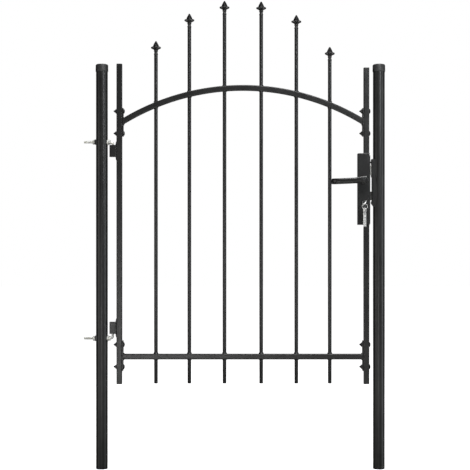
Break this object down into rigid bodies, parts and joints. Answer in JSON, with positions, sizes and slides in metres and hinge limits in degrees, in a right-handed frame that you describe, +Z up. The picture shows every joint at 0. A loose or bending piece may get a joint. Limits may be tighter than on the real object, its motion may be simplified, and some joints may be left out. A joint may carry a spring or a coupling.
{
  "type": "garden gate",
  "caption": "Arched steel garden gate: spear-topped bars in a bolted frame, hung on threaded hooks from a round post, with a lever lock closing on a second post.",
  "frame": {"origin": "on the ground line, half way between the centres of the two posts", "axes": "+X from the hinge post to the latch post, +Y away from the person who opens the gate, +Z up"},
  "size_m": [0.9785, 0.1092, 1.52],
  "materials": {
    "black_coat": "satin black powder coat, faintly uneven, lighter on edges",
    "black_plastic": "moulded black plastic, matt",
    "zinc": "zinc-plated steel, slightly yellow and mottled",
    "nickel": "nickel-plated brass, satin",
    "lock_steel": "bare mill-finish steel, oiled"
  },
  "bodies": {
    "posts": {"hinge_post": "black_coat", "latch_post": "black_coat", "hinge_post_cap": "black_plastic", "latch_post_cap": "black_plastic", "strike_keeper": "black_coat", "strike_screw": "black_coat", "upper_hook": "zinc", "upper_outer_saddle": "black_coat", "upper_outer_nut": "zinc", "upper_inner_washer": "zinc", "upper_inner_nut": "zinc", "lower_hook": "zinc", "lower_outer_saddle": "black_coat", "lower_outer_nut": "zinc", "lower_inner_washer": "zinc", "lower_inner_nut": "zinc"},
    "leaf": {"hinge_stile": "black_coat", "lock_stile_lower": "black_coat", "lock_stile_upper": "black_coat", "hinge_stile_plug": "black_plastic", "lock_stile_plug": "black_plastic", "arch_rail": "black_coat", "lower_rail": "black_coat", "bar_1": "black_coat", "bar_2": "black_coat", "bar_3": "black_coat", "bar_4": "black_coat", "bar_5": "black_coat", "bar_6": "black_coat", "spear_1": "black_coat", "spear_2": "black_coat", "spear_3": "black_coat", "spear_4": "black_coat", "spear_5": "black_coat", "spear_6": "black_coat", "hinge_upper_top_bolt": "black_coat", "hinge_upper_bottom_bolt": "black_coat", "hinge_lower_top_bolt": "black_coat", "hinge_lower_bottom_bolt": "black_coat", "lock_upper_top_bolt": "black_coat", "lock_upper_bottom_bolt": "black_coat", "lock_lower_top_bolt": "black_coat", "lock_lower_bottom_bolt": "black_coat", "upper_hinge_lug": "black_coat", "lower_hinge_lug": "black_coat", "lock_box": "black_coat", "lock_body": "black_coat", "lock_cylinder": "nickel"},
    "levers": {"front_lever": "black_coat", "rear_lever": "black_coat", "lever_spindle": "lock_steel", "lock_follower": "lock_steel"},
    "latch": {"latch_bolt": "lock_steel"},
    "dead_bolt": {"dead_bolt": "lock_steel"},
    "key": {"door_key": "nickel", "cylinder_plug": "nickel"},
    "key_ring": {"key_ring": "nickel"},
    "spare_keys": {"spare_key_1": "nickel", "spare_key_2": "nickel"}
  },
  "joints": [
    {"name": "leaf_swing", "type": "hinge", "parent": "posts", "child": "leaf", "pos_m": [-0.4146, 0, 0.742], "axis": [0, 0, 1], "range_deg": [-95, 95]},
    {"name": "lever_press", "type": "hinge", "parent": "leaf", "child": "levers", "pos_m": [0.4005, 0, 0.937], "axis": [0, -1, 0], "range_deg": [0, 40], "stiffness_Nm_per_rad": 1, "springref_deg": -34.38},
    {"name": "latch_slide", "type": "slide", "parent": "leaf", "child": "latch", "axis": [1, 0, 0], "range_m": [-0.0045, 0]},
    {"name": "key_turn", "type": "hinge", "parent": "leaf", "child": "key", "pos_m": [0.4005, 0, 0.8615], "axis": [0, -1, 0], "range_deg": [0, 60]},
    {"name": "dead_bolt_slide", "type": "slide", "parent": "leaf", "child": "dead_bolt", "axis": [1, 0, 0], "range_m": [0, 0.0141]},
    {"name": "ring_swing", "type": "hinge", "parent": "key", "child": "key_ring", "pos_m": [0.4005, -0.038, 0.8615], "axis": [0, -1, 0], "range_deg": [-61, 1]},
    {"name": "spare_keys_swing", "type": "hinge", "parent": "key_ring", "child": "spare_keys", "pos_m": [0.4005, -0.038, 0.8415], "axis": [-1, 0, 0], "range_deg": [-6, 14]}
  ],
  "couplings": [
    {"joint": "latch_slide", "follows": "lever_press", "m_per_rad": -0.0063},
    {"joint": "dead_bolt_slide", "follows": "key_turn", "m_per_rad": 0.0134},
    {"joint": "ring_swing", "follows": "key_turn", "ratio": -1}
  ]
}
